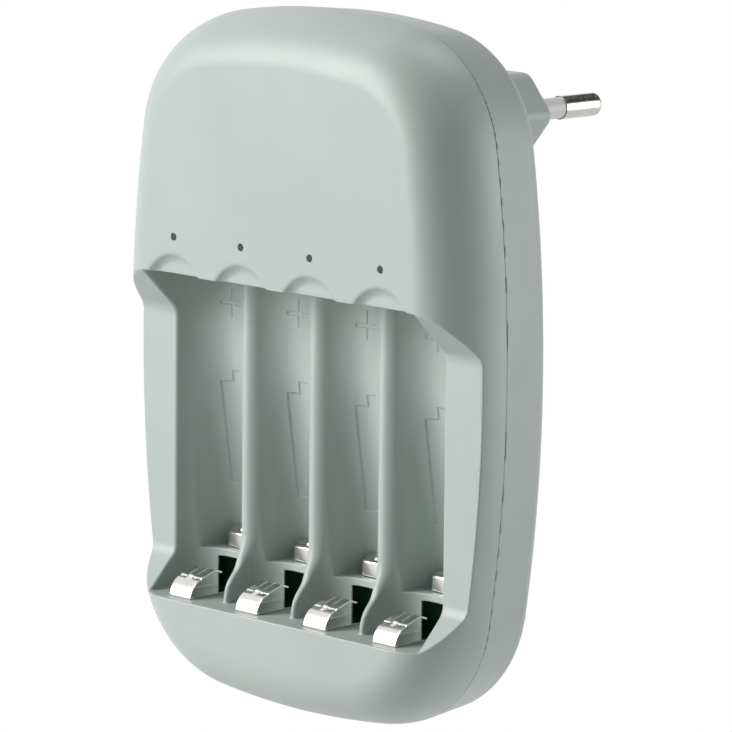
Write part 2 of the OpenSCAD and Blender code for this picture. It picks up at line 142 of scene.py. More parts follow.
c_side = np.array((half_w - side_r, z_widest))
c_top = np.array((0, z_top - top_r))
c_bottom = np.array((0, z_bottom + bottom_r))
c_upper = meeting_circle(c_top, top_r, c_side, side_r, upper_corner_r, -1)
c_lower = meeting_circle(c_bottom, bottom_r, c_side, side_r, lower_corner_r, 1)
a_bottom = bearing(c_bottom, c_lower)
a_lower = bearing(c_side, c_lower)
a_upper = bearing(c_side, c_upper)
a_top = bearing(c_top, c_upper)
outline_arcs = (
    (c_bottom, bottom_r, -math.pi, a_bottom),
    (c_lower, lower_corner_r, a_bottom, a_lower),
    (c_side, side_r, a_lower, a_upper),
    (c_upper, upper_corner_r, a_upper, a_top),
    (c_top, top_r, a_top, math.pi),
)


deep_inside = -50.0
angle_slack = 1e-6
nearly_zero = 1e-9


def beyond_outline(x, z):
    """Distance outside the body's outline, negative inside."""
    x = np.abs(x)
    far = np.full(np.broadcast(x, z).shape, deep_inside)
    for centre, r, first, last in outline_arcs:
        angle = np.arctan2(z - centre[1], x - centre[0])
        here = (angle >= first - angle_slack) & (angle <= last + angle_slack)
        far = np.where(here, np.maximum(far, np.hypot(x - centre[0], z - centre[1]) - r), far)
    return far


def round_meet(a, b, r, lean=0.0):
    """What two fields share, with a rounded edge. Lean is the cosine between their faces."""
    u = a + r
    v = b + r
    on_arc = (u > lean * v) & (v > lean * u)
    arc = np.sqrt((u * u + v * v - 2 * lean * u * v) / (1 - lean ** 2)) - r
    return np.where(on_arc, arc, np.maximum(a, b))


def round_join(a, b, r):
    """Two fields joined, with the corner between them filled."""
    return -round_meet(-a, -b, r)


def curved_face(inset, ahead, across, deep):
    """The front shell's outside, whose edge is a quarter ellipse down to the parting line."""
    u = np.maximum(across - inset, 0) / across
    v = np.maximum(ahead, 0) / deep
    reach = np.hypot(u, v) + nearly_zero
    return (reach - 1) * reach / (np.hypot(u / across, v / deep) + nearly_zero)


def from_bay(x):
    """Side distance from the middle of the nearest bay, with its sign."""
    bay = np.clip(np.rint(x / bay_pitch + (bay_count - 1) / 2), 0, bay_count - 1)
    return x - (bay - (bay_count - 1) / 2) * bay_pitch


def block(x, z, half, low, high):
    """Distance outside a rectangle that is even in x."""
    return np.maximum(np.abs(x) - half, np.maximum(low - z, z - high))


# Sunk signs: a plus at the top of each bay and a cell's outline on the smaller groove
sign_depth = 0.17
sign_slope = 0.24
plus_z = -32.8
plus_arm = 2.5
plus_half = 0.34
cell_sign_half = 3.2
cell_sign_top = -46.4
cell_sign_length = 17.9
cell_nub_half = 1.05
cell_nub_height = 2.0


def sign_area(side, z):
    """Distance outside the sunk signs of a bay, seen from the front."""
    plus = np.minimum(
        block(side, z, plus_arm, plus_z - plus_half, plus_z + plus_half),
        block(side, z, plus_half, plus_z - plus_arm, plus_z + plus_arm))
    cell = np.minimum(
        block(side, z, cell_sign_half, cell_sign_top - cell_sign_length, cell_sign_top),
        block(side, z, cell_nub_half, cell_sign_top - cell_nub_height, cell_sign_top + cell_nub_height))
    return np.minimum(plus, cell)


def sunk_sign(side, z):
    """How deep the signs are sunk, with a narrow slope along their edges."""
    share = np.clip(0.5 - sign_area(side, z) / sign_slope, 0, 1)
    return sign_depth * share * share * (3 - 2 * share)


shelf_inset = 7.6
upper_slant = 7.3
lower_slant = 7.9
lower_slant_drop = 1.9
slant_round = 3
rib_inset = 9
rib_foot_inset = 4.5
rib_foot_height = 11.8
rib_edge_r = 1.1
rib_foot_r = 0.55
lip_r = 0.22
shelf_r = 0.5
groove_edge_r = 0.8
ledge_r = 0.25
corner_fill = 0.3
ledge_blend = 4
# A slanted face makes its field too steep, and this brings it near to a true distance
rib_slope_scale = 0.93


def slant(y, z, fall, z_edge):
    """Distance outside the slanted end of the side cut, whose edge lies on the front face."""
    return ((y - y_front) * abs(fall) + (z - z_edge) * math.copysign(shelf_inset, fall)) / math.hypot(
        fall, shelf_inset)


def rib_front(z):
    """Depth of a rib's front edge: straight, then two arcs bent opposite ways down to its foot."""
    step = (rib_inset - rib_foot_inset) / 2
    bend = (step ** 2 + (rib_foot_height / 2) ** 2) / (2 * step)
    up = np.clip(z - z_floor, 0, rib_foot_height)
    low = rib_foot_inset + bend - np.sqrt(bend ** 2 - np.minimum(up, rib_foot_height / 2) ** 2)
    down = np.minimum(rib_foot_height - up, rib_foot_height / 2)
    high = rib_inset - bend + np.sqrt(bend ** 2 - down ** 2)
    return y_front + np.where(up < rib_foot_height / 2, low, high)


def from_groove_axis(side, y, z):
    """Distance from the leaning axis of a smaller cell's groove."""
    behind = (y - y_cradle) * math.cos(aaa_lean) + (z - z_ledge) * math.sin(aaa_lean)
    return np.hypot(side, behind)


def bay_room(x, y, z):
    """The open room of the bays: side cut, room before the ribs, cradles and leaning grooves."""
    side = from_bay(x)
    before_ribs = (y - rib_front(z)) * rib_slope_scale
    before_ribs = np.maximum(before_ribs, np.abs(x) - bay_pitch * (bay_count - 1) / 2)
    cradle = np.where(y > y_axis, np.hypot(side, y - y_axis), np.abs(side)) - aa_cradle_r
    groove = np.maximum(from_groove_axis(side, y, z) - aaa_groove_r, z_ledge - z)
    edge_r = ledge_r + (groove_edge_r - ledge_r) * np.clip((z - z_ledge) / ledge_blend, 0, 1)
    shelf = y - y_front - shelf_inset
    upper_lean = upper_slant / math.hypot(upper_slant, shelf_inset)
    upper = round_meet(slant(y, z, upper_slant, z_lip), shelf, slant_round, upper_lean)
    lower_lean = lower_slant / math.hypot(lower_slant, shelf_inset)
    lower = slant(y, z, -lower_slant, z_floor - lower_slant_drop)
    lower = round_meet(lower, shelf, slant_round, lower_lean)
    rib_r = rib_foot_r + (rib_edge_r - rib_foot_r) * np.clip((z - z_floor) / rib_foot_height, 0, 1)
    room = round_join(before_ribs, cradle, rib_r)
    room = round_join(room, groove, edge_r)
    room = round_join(room, np.maximum(upper, lower), shelf_r)
    return round_meet(room, np.maximum(z - z_lip, z_floor - z), corner_fill)


dish_r = 7.2
dish_depth = 1.05
dish_drop = 3.85
dish_wall = 1.6
dish_edge = 0.2
dish_clear = 0.02
dish_slope_scale = 0.8
window_d = 1.2
contact_window_half = 2.7
contact_window_height = 5.3
y_window_edge = y_axis + 7.2
window_flare = 3
window_flare_rate = 1.1
tail_slot_half = 2.45
tail_slot_y = -29.8
tab_slot_half = 1.65
tab_slot_y = -36.75
slot_half_depth = 0.3
fold_slot_y = y_front + 14.75
fold_slot_depth = 1.0
small_edge_r = 0.08
seam_r = 0.13


def dish_sink(side, z):
    """Depth of the thumb dish above a bay, whose wall is steep at the rim and flattens inwards."""
    inward = dish_r - np.hypot(side, z - z_lip + dish_drop)
    inward = (inward + np.hypot(inward, dish_edge)) / 2
    share = np.clip(inward / dish_wall, 0, 1)
    return dish_depth * share * (2 - share) - dish_clear


def thin_slot(side, y, z, half, y_middle, low, high):
    """Distance outside a slot that a strip of metal passes through."""
    return np.maximum(block(side, z, half, low, high), np.abs(y - y_middle) - slot_half_depth)


def front_housing_field(x, y, z):
    """Distance outside the front housing's plastic."""
    ahead = y_seam - y
    inset = -beyond_outline(x, z)
    side = from_bay(x)
    outside = curved_face(inset, ahead, front_round, front_depth)
    hollow = curved_face(inset - wall, ahead, front_round - wall / 2, front_depth - wall)
    shell = np.maximum(round_meet(outside, -ahead, seam_r), -hollow)
    shell = np.maximum(shell, np.minimum(inset - wall / 2, tongue - ahead))
    ends = np.maximum(z - z_lip - wall, z_floor - wall - z)
    tub = curved_face(inset - wall / 2, ahead, front_round - wall / 4, front_depth - wall / 2)
    tub = np.maximum(np.maximum(tub, tongue - ahead), ends)
    cradle = np.hypot(side, y - y_axis) - aa_cradle_r - cradle_wall
    cradle = np.maximum(cradle, np.maximum(y_axis - y, ends))
    groove = from_groove_axis(side, y, z) - aaa_groove_r - groove_wall
    groove = np.maximum(groove, np.maximum(z_ledge - cradle_wall - z, z - z_lip))
    solid = np.minimum(np.minimum(shell, tub), np.minimum(cradle, groove))

    solid = np.maximum(solid, (y_front - y + dish_sink(side, z)) * dish_slope_scale)
    room = bay_room(x, y, z) - sunk_sign(side, z)
    solid = round_meet(solid, -room, lip_r)
    window_half = contact_window_half + np.clip(y - y_window_edge, 0, window_flare) * window_flare_rate
    contact_window = block(side, z, window_half, z_floor, z_floor + contact_window_height)
    contact_window = np.maximum(contact_window, y_axis - y)
    tail_slot = thin_slot(side, y, z, tail_slot_half, tail_slot_y, z_ledge - 2 * wall, z_ledge)
    tab_slot = thin_slot(side, y, z, tab_slot_half, tab_slot_y, z_lip, z_lip + 2 * wall)
    fold_slot = thin_slot(
        side, y, z, tail_slot_half, fold_slot_y, z_ledge - fold_slot_depth, z_ledge + fold_slot_depth)
    lamp_hole = np.maximum(np.hypot(side, z - z_window) - window_d / 2, -ahead)
    for hole in (contact_window, tail_slot, fold_slot, tab_slot, lamp_hole):
        solid = round_meet(solid, -hole, small_edge_r)
    return solid


def field_slope(field, points):
    """A field's values and slopes at points."""
    reach = 0.02
    slope = np.empty_like(points)
    for axis in range(3):
        step = np.zeros(3)
        step[axis] = reach
        slope[:, axis] = (field(*(points + step).T) - field(*(points - step).T)) / (2 * reach)
    return field(*points.T), slope


def set_on_field(field, points):
    """Points moved along the slope on to the field's zero, in two turns."""
    least_slope = 0.2
    longest_move = 0.3
    for _ in range(2):
        value, slope = field_slope(field, points)
        size = np.maximum((slope ** 2).sum(axis=1), least_slope)
        move = np.clip(value / size, -longest_move, longest_move)
        points = points - slope * move[:, None]
    return points


def moulding(name, field, low, high, step, keep):
    """The skin of a moulding, as points and triangles. Keep is the share that is left after thinning."""
    margin = 3 * step
    axes = [np.arange(a - margin, b + margin, step) for a, b in zip(low, high)]
    values = field(*np.meshgrid(*axes, indexing="ij", sparse=True))
    grid = openvdb.FloatGrid(margin)
    grid.copyFromArray(np.clip(values, -margin, margin).astype(np.float32))
    points, triangles, quads = grid.convertToPolygons(isovalue=0.0, adaptivity=0.0)
    points = np.array([axis[0] for axis in axes]) + points.astype(float) * step
    dense = bpy.data.meshes.new(name)
    dense.from_pydata(set_on_field(field, points), [], triangles.tolist() + quads.tolist())
    carrier = bpy.data.objects.new(name, dense)
    bpy.context.scene.collection.objects.link(carrier)
    carrier.modifiers.new("thin", "DECIMATE").ratio = keep
    thin = carrier.evaluated_get(bpy.context.evaluated_depsgraph_get()).to_mesh()
    thin.calc_loop_triangles()
    points = np.array([v.co for v in thin.vertices])
    triangles = np.array([t.vertices for t in thin.loop_triangles])
    bpy.data.objects.remove(carrier)
    bpy.data.meshes.remove(dense)
    return set_on_field(field, points), triangles


def refine(field, points, triangles, is_seen, from_sign, limit):
    """Splits edges that bend sharply or cross a sign's edge, and sets the new corners on the field."""
    passes = 5
    sharp_bend = math.radians(20)
    slope = field_slope(field, points)[1]
    for _ in range(passes):
        ends = np.stack((triangles, np.roll(triangles, -1, axis=1)), axis=2).reshape(-1, 2)
        ends.sort(axis=1)
        keys, which = np.unique(ends[:, 0] * len(points) + ends[:, 1], return_inverse=True)
        first, second = np.divmod(keys, len(points))
        middle = (points[first] + points[second]) / 2
        length = np.linalg.norm(points[second] - points[first], axis=1)
        normal = slope / np.linalg.norm(slope, axis=1)[:, None]
        bent = (normal[first] * normal[second]).sum(axis=1) < math.cos(sharp_bend)
        crossing = from_sign(*middle.T) < length / 2
        split = (bent | crossing) & (length > limit) & is_seen(*middle.T)
        fresh = np.full(len(keys), -1)
        fresh[split] = len(points) + np.arange(split.sum())
        places = set_on_field(field, middle[split])
        points = np.vstack((points, places))
        slope = np.vstack((slope, field_slope(field, places)[1]))
        mids = fresh[which].reshape(-1, 3)
        cuts = (mids >= 0).sum(axis=1)
        parts = [triangles[cuts == 0]]
        for count in (1, 2, 3):
            some = cuts == count
            if count == 1:
                start = np.argmax(mids[some] >= 0, axis=1)
            else:
                start = np.argmin(mids[some], axis=1) + 1
            turn = (start[:, None] + np.arange(3)) % 3
            a, b, c = np.take_along_axis(triangles[some], turn, axis=1).T
            ab, bc, ca = np.take_along_axis(mids[some], turn, axis=1).T
            pieces = {
                1: ((a, ab, c), (ab, b, c)),
                2: ((ab, b, bc), (a, ab, bc), (a, bc, c)),
                3: ((a, ab, ca), (ab, b, bc), (ca, bc, c), (ab, bc, ca)),
            }
            parts += [np.stack(piece, axis=1) for piece in pieces[count]]
        triangles = np.vstack(parts)
    return points, triangles


def finish_moulding(name, points, triangles, field):
    """Makes a moulding of a skin, shades it by the field's slope and sets it down in metres."""
    slope = field_slope(field, points)[1]
    mesh = bpy.data.meshes.new(name)
    mesh.from_pydata(points * MM, [], triangles.tolist())
    mesh.shade_smooth()
    mesh.normals_split_custom_set_from_vertices(slope / np.linalg.norm(slope, axis=1)[:, None])
    piece = bpy.data.objects.new(name, mesh)
    bpy.context.scene.collection.objects.link(piece)
    return piece


def front_is_seen(x, y, z):
    """Which points lie on the outside or in the bays, and not on the hidden inside."""
    face_skin = 1.4
    bay_skin = 0.6
    outside = curved_face(-beyond_outline(x, z), y_seam - y, front_round, front_depth)
    return (outside > -face_skin) | (bay_room(x, y, z) < bay_skin)


def from_sign_edge(x, y, z):
    """Distance from the edge of the nearest sunk sign."""
    return np.abs(sign_area(from_bay(x), z))


front_low = (-half_w, y_front, z_bottom)
front_high = (half_w, y_back - wall, z_top)
front_skin = moulding("front_moulding", front_housing_field, front_low, front_high, step=0.46, keep=0.3)
front_skin = refine(front_housing_field, *front_skin, front_is_seen, from_sign_edge, limit=0.3)
front_piece = finish_moulding("front_moulding", *front_skin, front_housing_field)

housing_colour = (0.403, 0.453, 0.428, 1)


finish_inputs = (("Colour", "NodeSocketColor"), ("Roughness", "NodeSocketFloat"))
finish_outputs = finish_inputs + (("Height", "NodeSocketFloat"),)


def finish_group(name):
    """An empty shader node group for a surface's finish, and its two end nodes."""
    group = bpy.data.node_groups.new(name, "ShaderNodeTree")
    for label, kind in finish_inputs:
        group.interface.new_socket(label, in_out="INPUT", socket_type=kind)
    for label, kind in finish_outputs:
        group.interface.new_socket(label, in_out="OUTPUT", socket_type=kind)
    return group, group.nodes.new("NodeGroupInput"), group.nodes.new("NodeGroupOutput")


def noise(tree, coordinates, scale, detail):
    node = tree.nodes.new("ShaderNodeTexNoise")
    node.inputs["Scale"].default_value = scale
    node.inputs["Detail"].default_value = detail
    tree.links.new(coordinates, node.inputs["Vector"])
    return node.outputs["Fac"]


def remap(tree, value, low, high):
    """A noise's values, most of which lie within a fifth of one half, spread between two numbers."""
    node = tree.nodes.new("ShaderNodeMapRange")
    node.inputs["From Min"].default_value = 0.3
    node.inputs["From Max"].default_value = 0.7
    node.inputs["To Min"].default_value = low
    node.inputs["To Max"].default_value = high
    tree.links.new(value, node.inputs["Value"])
    return node.outputs["Result"]


def scaled_value(tree, value, factor):
    """A value made larger or smaller by another."""
    node = tree.nodes.new("ShaderNodeMath")
    node.operation = "MULTIPLY"
    tree.links.new(value, node.inputs[0])
    tree.links.new(factor, node.inputs[1])
    return node.outputs["Value"]


def scaled_colour(tree, colour, factor):
    """A colour made lighter or darker by a value that changes over the surface."""
    node = tree.nodes.new("ShaderNodeMix")
    node.data_type = "RGBA"
    node.blend_type = "MULTIPLY"
    node.inputs["Factor"].default_value = 1
    tree.links.new(colour, node.inputs["A"])
    tree.links.new(factor, node.inputs["B"])
    return node.outputs["Result"]


# Moulded grain: a faint cloud in the colour, uneven gloss, and the fine grain of a spark-etched mould
moulded_grain, grain_in, grain_out = finish_group("moulded_grain")
grain_place = moulded_grain.nodes.new("ShaderNodeTexCoord").outputs["Object"]
grain_cloud = noise(moulded_grain, grain_place, scale=45, detail=3)
grain_gloss = noise(moulded_grain, grain_place, scale=160, detail=4)
grain_fine = noise(moulded_grain, grain_place, scale=3200, detail=2)
grain_colour = scaled_colour(
    moulded_grain, grain_in.outputs["Colour"], remap(moulded_grain, grain_cloud, low=0.975, high=1.02))
grain_roughness = scaled_value(
    moulded_grain, grain_in.outputs["Roughness"], remap(moulded_grain, grain_gloss, low=0.9, high=1.1))
moulded_grain.links.new(grain_colour, grain_out.inputs["Colour"])
moulded_grain.links.new(grain_roughness, grain_out.inputs["Roughness"])
moulded_grain.links.new(grain_fine, grain_out.inputs["Height"])

grain_depth = 0.00002


def grained_material(name, group, colour, roughness, bump, metallic=0):
    """A surface whose colour, gloss and relief come from a group of its own effect."""
    material = bpy.data.materials.new(name)
    material.use_nodes = True
    tree = material.node_tree
    shader = tree.nodes["Principled BSDF"]
    shader.inputs["Metallic"].default_value = metallic
    effect = tree.nodes.new("ShaderNodeGroup")
    effect.node_tree = group
    effect.inputs["Colour"].default_value = colour
    effect.inputs["Roughness"].default_value = roughness
    relief = tree.nodes.new("ShaderNodeBump")
    relief.inputs["Strength"].default_value = bump
    relief.inputs["Distance"].default_value = grain_depth
    tree.links.new(effect.outputs["Colour"], shader.inputs["Base Color"])
    tree.links.new(effect.outputs["Roughness"], shader.inputs["Roughness"])
    tree.links.new(effect.outputs["Height"], relief.inputs["Height"])
    tree.links.new(relief.outputs["Normal"], shader.inputs["Normal"])
    return material


housing_plastic = grained_material(
    "housing_plastic", moulded_grain, housing_colour, roughness=0.42, bump=0.35)
front_piece.data.materials.append(housing_plastic)
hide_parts("front_housing")
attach(front_piece, "charger")


# Rear housing
# The second moulding, in the same plastic: the shell behind the parting line, with the plug's boss on its
# back. Its rim slips inside the front housing's.
rear_taper = 0.8
back_round = 3
boss_w = 35.3
boss_h = 13.7
boss_flat = 24
boss_end = 8
boss_side_r = 2
boss_edge_r = 3
boss_root_r = 0.8
boss_face_r = 0.5
fit = 0.15
shank_hole_r = 1.45
sleeve_hole_r = 1.85
sleeve_seat = 2.05
pin_x = 9.3


def boss_sides(x, z, inset):
    """Distance outside the boss's six-sided section."""
    x = np.abs(x)
    z = np.abs(z)
    corner = boss_w / 2 - inset
    high = boss_h / 2 - inset
    run = corner - boss_flat / 2 + inset / 2
    long = math.hypot(high, run)
    nose_x = corner - boss_side_r * long / high
    slope = ((x - corner) * high + z * run) / long
    nose = np.where(z < (x - nose_x) * run / high, np.hypot(x - nose_x, z) - boss_side_r, slope)
    return round_meet(nose, z - high, boss_edge_r, run / long)


def rear_housing_field(x, y, z):
    """Distance outside the rear housing's plastic."""
    inset = -beyond_outline(x, z)
    rise = y - y_seam
    taper = rear_taper * np.clip(rise / (y_back - back_round - y_seam), 0, 1)
    outside = round_meet(taper - inset, y - y_back, back_round)
    hollow = round_meet(taper + wall - inset, y - y_back + wall, back_round - wall / 2)
    boss = round_meet(boss_sides(x, z, 0), y, boss_face_r)
    boss = np.maximum(boss, y_back - wall - y)
    room = np.maximum(boss_sides(x, z, wall), y + boss_end)
    body = round_join(round_meet(outside, -rise, seam_r), boss, boss_root_r)
    body = np.maximum(body, -hollow)
    lip = np.maximum(wall / 2 + fit - inset, inset - wall)
    lip = np.maximum(lip, np.maximum(rise, -rise - tongue + fit))
    body = np.minimum(body, lip)
    body = np.maximum(body, -room)
    pin = np.hypot(np.abs(x) - pin_x, z)
    body = np.maximum(body, -np.maximum(pin - shank_hole_r, -boss_end - wall - y))
    return round_meet(body, -np.maximum(pin - sleeve_hole_r, -sleeve_seat - y), small_edge_r)


rear_low = (-half_w, y_seam - tongue, z_bottom)
rear_high = (half_w, 0, z_top)
rear_skin = moulding("rear_moulding", rear_housing_field, rear_low, rear_high, step=0.42, keep=0.3)
rear_piece = finish_moulding("rear_moulding", *rear_skin, rear_housing_field)
rear_piece.data.materials.append(housing_plastic)
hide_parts("rear_housing")
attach(rear_piece, "charger")


# Sprung contacts
# Each is folded from one strip of nickel-plated steel: a leg on the floor, a fold, a curved front, and
# an arm with a pressed dome. The larger ones are slit into three fingers.
strip = 0.3
fold_r = 0.45
tail_dip = math.radians(18)
dome_h = 0.35
slit = 0.35
tail_y = -29.65
touch = 0.05
corner_r = 0.16
band_length = 0.5
band_slope = math.radians(14)
riser_length = 0.3
riser_slope = math.radians(52)
shoulder_r = 0.35
riser_foot_r = 0.2
riser_top_r = 0.3
arm_end_r = 0.5
strip_grid = 0.14
strip_edge = 0.05
dome_fall = 1.3


def along_line(start, heading, length, steps):
    """Points along a straight stretch of strip, without its start."""
    way = np.array((math.cos(heading), math.sin(heading)))
    return [start + way * length * i / steps for i in range(1, steps + 1)]


def along_bend(start, heading, turn, r, steps):
    """Points along a bend of a strip, without its start. A positive turn goes to the left."""
    left = np.array((-math.sin(heading), math.cos(heading))) * math.copysign(1, turn)
    centre = start + left * r
    angles = [turn * i / steps for i in range(1, steps + 1)]
    return [centre + Matrix.Rotation(a, 2) @ Vector(start - centre) for a in angles]


def strip_path(lean_back, face_r, face_turn, arm, slope, tail, leg, drop):
    """Middle line of a folded strip about its hinge, tail first, and where its dome lies on it."""
    half = strip / 2
    floor_line = half - fold_r
    line = []
    if drop:
        line.append(np.array((leg - half, -drop)))
        line += along_line(line[-1], math.pi / 2, drop + floor_line - corner_r, steps=6)
        line += along_bend(line[-1], math.pi / 2, math.pi / 2, corner_r, steps=5)
    else:
        line.append(np.array((leg, floor_line)))
    front = half - fold_r - fold_r * math.tan(lean_back)
    line += along_line(line[-1], math.pi, line[-1][0] - front, steps=20)
    heading = math.pi / 2 - lean_back
    line += along_line(line[-1], heading, fold_r - half, steps=3)
    line += along_bend(line[-1], heading, -face_turn, face_r - half, steps=18)
    heading -= face_turn
    line += along_bend(line[-1], heading, band_slope - heading, shoulder_r, steps=5)
    line += along_line(line[-1], band_slope, band_length, steps=4)
    line += along_bend(line[-1], band_slope, riser_slope - band_slope, riser_foot_r, steps=4)
    line += along_line(line[-1], riser_slope, riser_length / 2, steps=2)
    dome = len(line) - 1
    line += along_bend(line[-1], riser_slope, slope - riser_slope, riser_top_r, steps=4)
    line += along_line(line[-1], slope, arm, steps=30)
    line += along_bend(line[-1], slope, -slope - tail_dip, arm_end_r, steps=6)
    line += along_line(line[-1], -tail_dip, tail, steps=8)
    return np.array(line), dome


def sprung_strip(name, middle, width, path, dome_r, slits, slit_ends):
    """A sprung contact as a thick sheet with soft edges, a pressed dome and slits along its arm."""
    line, dome = path
    steps = np.diff(line, axis=0)
    along = np.concatenate(([0], np.cumsum(np.hypot(*steps.T))))
    along -= along[dome]
    ways = np.gradient(line, axis=0)
    ways /= np.hypot(*ways.T)[:, None]
    edges = [-width / 2]
    for s in slits:
        edges += [s - slit / 2, s + slit / 2]
    edges.append(width / 2)
    spans = [
        np.linspace(a, b, max(2, round((b - a) / strip_grid)) + 1)[:-1] for a, b in zip(edges, edges[1:])]
    across = np.append(np.concatenate(spans), width / 2)
    sheet = bmesh.new()
    rows = []
    for (y, z), (way_y, way_z), s in zip(line, ways, along):
        far = np.hypot(across, s) / dome_r
        rise = dome_h * np.clip(1 - far ** 2, 0, 1) ** dome_fall
        rows.append([
            sheet.verts.new((middle[0] + x, middle[1] + y - way_z * h, middle[2] + z + way_y * h))
            for x, h in zip(across, rise)])
    for i in range(len(rows) - 1):
        s = (along[i] + along[i + 1]) / 2
        for j in range(len(across) - 1):
            x = (across[j] + across[j + 1]) / 2
            if slit_ends[0] < s < slit_ends[1] and any(abs(x - c) < slit / 2 for c in slits):
                continue
            sheet.faces.new((rows[i][j], rows[i][j + 1], rows[i + 1][j + 1], rows[i + 1][j]))
    mesh = bpy.data.meshes.new(name)
    sheet.to_mesh(mesh)
    sheet.free()
    piece = bpy.data.objects.new(name, mesh)
    bpy.context.scene.collection.objects.link(piece)
    thick = piece.modifiers.new("thickness", "SOLIDIFY")
    thick.thickness = strip
    thick.offset = 0
    thick.use_even_offset = True
    edge = piece.modifiers.new("edge", "BEVEL")
    edge.width = strip_edge
    edge.segments = 2
    edge.angle_limit = math.radians(50)
    edge.harden_normals = True
    solid = bpy.data.meshes.new_from_object(piece.evaluated_get(bpy.context.evaluated_depsgraph_get()))
    piece.modifiers.clear()
    piece.data = solid
    solid.transform(Matrix.Scale(MM, 4))
    solid.shade_smooth()
    return piece


# Plated metal: a slightly uneven shine with fine lines from rolling and drawing
plated_shine, shine_in, shine_out = finish_group("plated_shine")
shine_place = plated_shine.nodes.new("ShaderNodeTexCoord").outputs["Object"]
shine_stretch = plated_shine.nodes.new("ShaderNodeMapping")
shine_stretch.inputs["Scale"].default_value = (1, 0.06, 1)
plated_shine.links.new(shine_place, shine_stretch.inputs["Vector"])
shine_cloud = noise(plated_shine, shine_place, scale=400, detail=3)
shine_blur = noise(plated_shine, shine_place, scale=900, detail=3)
shine_lines = noise(plated_shine, shine_stretch.outputs["Vector"], scale=9000, detail=2)
shine_colour = scaled_colour(
    plated_shine, shine_in.outputs["Colour"], remap(plated_shine, shine_cloud, low=0.94, high=1.02))
shine_roughness = scaled_value(
    plated_shine, shine_in.outputs["Roughness"], remap(plated_shine, shine_blur, low=0.75, high=1.3))
plated_shine.links.new(shine_colour, shine_out.inputs["Colour"])
plated_shine.links.new(shine_roughness, shine_out.inputs["Roughness"])
plated_shine.links.new(shine_lines, shine_out.inputs["Height"])

contact_metal = grained_material(
    "contact_metal", plated_shine, (0.74, 0.72, 0.69, 1), roughness=0.14, bump=0.25, metallic=1)

aa_strip_w = 5.1
aa_dome_r = 1.0
aa_fold_inset = 1.9
aa_slits = (-aa_strip_w / 6, aa_strip_w / 6)
aa_slit_ends = (0.6, 9)
aa_hinge = (y_front + aa_fold_inset + fold_r, z_floor + fold_r + touch)
aa_path = strip_path(
    lean_back=math.radians(10), face_r=3.5, face_turn=math.radians(52), arm=2.9, slope=math.radians(18),
    tail=1.5, leg=tail_y - aa_hinge[0], drop=0)

aaa_strip_w = 4.6
aaa_dome_r = 0.8
aaa_fold_inset = 15
aaa_tail_depth = 3.3
aaa_hinge = (y_front + aaa_fold_inset + fold_r, z_ledge + fold_r + touch)
aaa_path = strip_path(
    lean_back=math.radians(2), face_r=30, face_turn=math.radians(3.7), arm=1.7, slope=math.radians(14),
    tail=0.5, leg=tail_y - aaa_hinge[0], drop=fold_r + aaa_tail_depth)

for number in range(1, bay_count + 1):
    x = (number - 1 - (bay_count - 1) / 2) * bay_pitch
    aa = sprung_strip(
        f"aa_strip_{number}", (x, *aa_hinge), aa_strip_w, aa_path, aa_dome_r, aa_slits, aa_slit_ends)
    aaa = sprung_strip(
        f"aaa_strip_{number}", (x, *aaa_hinge), aaa_strip_w, aaa_path, aaa_dome_r, (), (0, 0))
    for piece, size, hinge in ((aa, "aa", aa_hinge), (aaa, "aaa", aaa_hinge)):
        piece.data.materials.append(contact_metal)
        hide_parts(f"{size}_contact_{number}")
        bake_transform(piece)


# Light guides and lamps
# Guides of smoked clear plastic sit in small round windows in the face. Each carries the light of a lamp
# with a green lens behind it.
guide_smoke = grained_material(
    "guide_smoke", moulded_grain, (0.035, 0.04, 0.037, 1), roughness=0.16, bump=0.05)
lamp_lens = grained_material(
    "lamp_lens", moulded_grain, (0.30, 0.62, 0.32, 1), roughness=0.2, bump=0.05)


def dress(material, *names):
    """Gives CAD nodes their finish."""
    for name in names:
        node = bpy.data.objects[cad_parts[name].name]
        node.data.materials.clear()
        node.data.materials.append(material)


numbers = [str(n) for n in range(1, bay_count + 1)]
dress(guide_smoke, *[f"light_guide_{n}" for n in numbers])
dress(lamp_lens, *[f"charge_lamp_{n}" for n in numbers])


# Boards and parts inside
# Hidden once the housing is welded: glass-fibre boards with a small transformer, capacitors and chips
# soldered to them, and the stamped positive contacts at the tops of the bays.
board_laminate = grained_material(
    "board_laminate", moulded_grain, (0.03, 0.13, 0.06, 1), roughness=0.4, bump=0.2)
ferrite = grained_material(
    "ferrite", moulded_grain, (0.03, 0.03, 0.033, 1), roughness=0.55, bump=0.6)
winding_tape = grained_material(
    "winding_tape", moulded_grain, (0.72, 0.55, 0.12, 1), roughness=0.35, bump=0.2)
capacitor_sleeve = grained_material(
    "capacitor_sleeve", moulded_grain, (0.02, 0.022, 0.05, 1), roughness=0.3, bump=0.1)
chip_plastic = grained_material(
    "chip_plastic", moulded_grain, (0.018, 0.018, 0.02, 1), roughness=0.5, bump=0.5)
resistor_body = grained_material(
    "resistor_body", moulded_grain, (0.50, 0.36, 0.22, 1), roughness=0.5, bump=0.3)
dress(contact_metal, *[f"positive_contact_{n}" for n in numbers])
dress(board_laminate, "main_board", "contact_board")
dress(ferrite, "transformer_core")
dress(winding_tape, "transformer_winding")
dress(capacitor_sleeve, "mains_capacitor", "output_capacitor")
dress(chip_plastic, "bridge_rectifier", "controller_chip")
dress(resistor_body, "fuse_resistor")


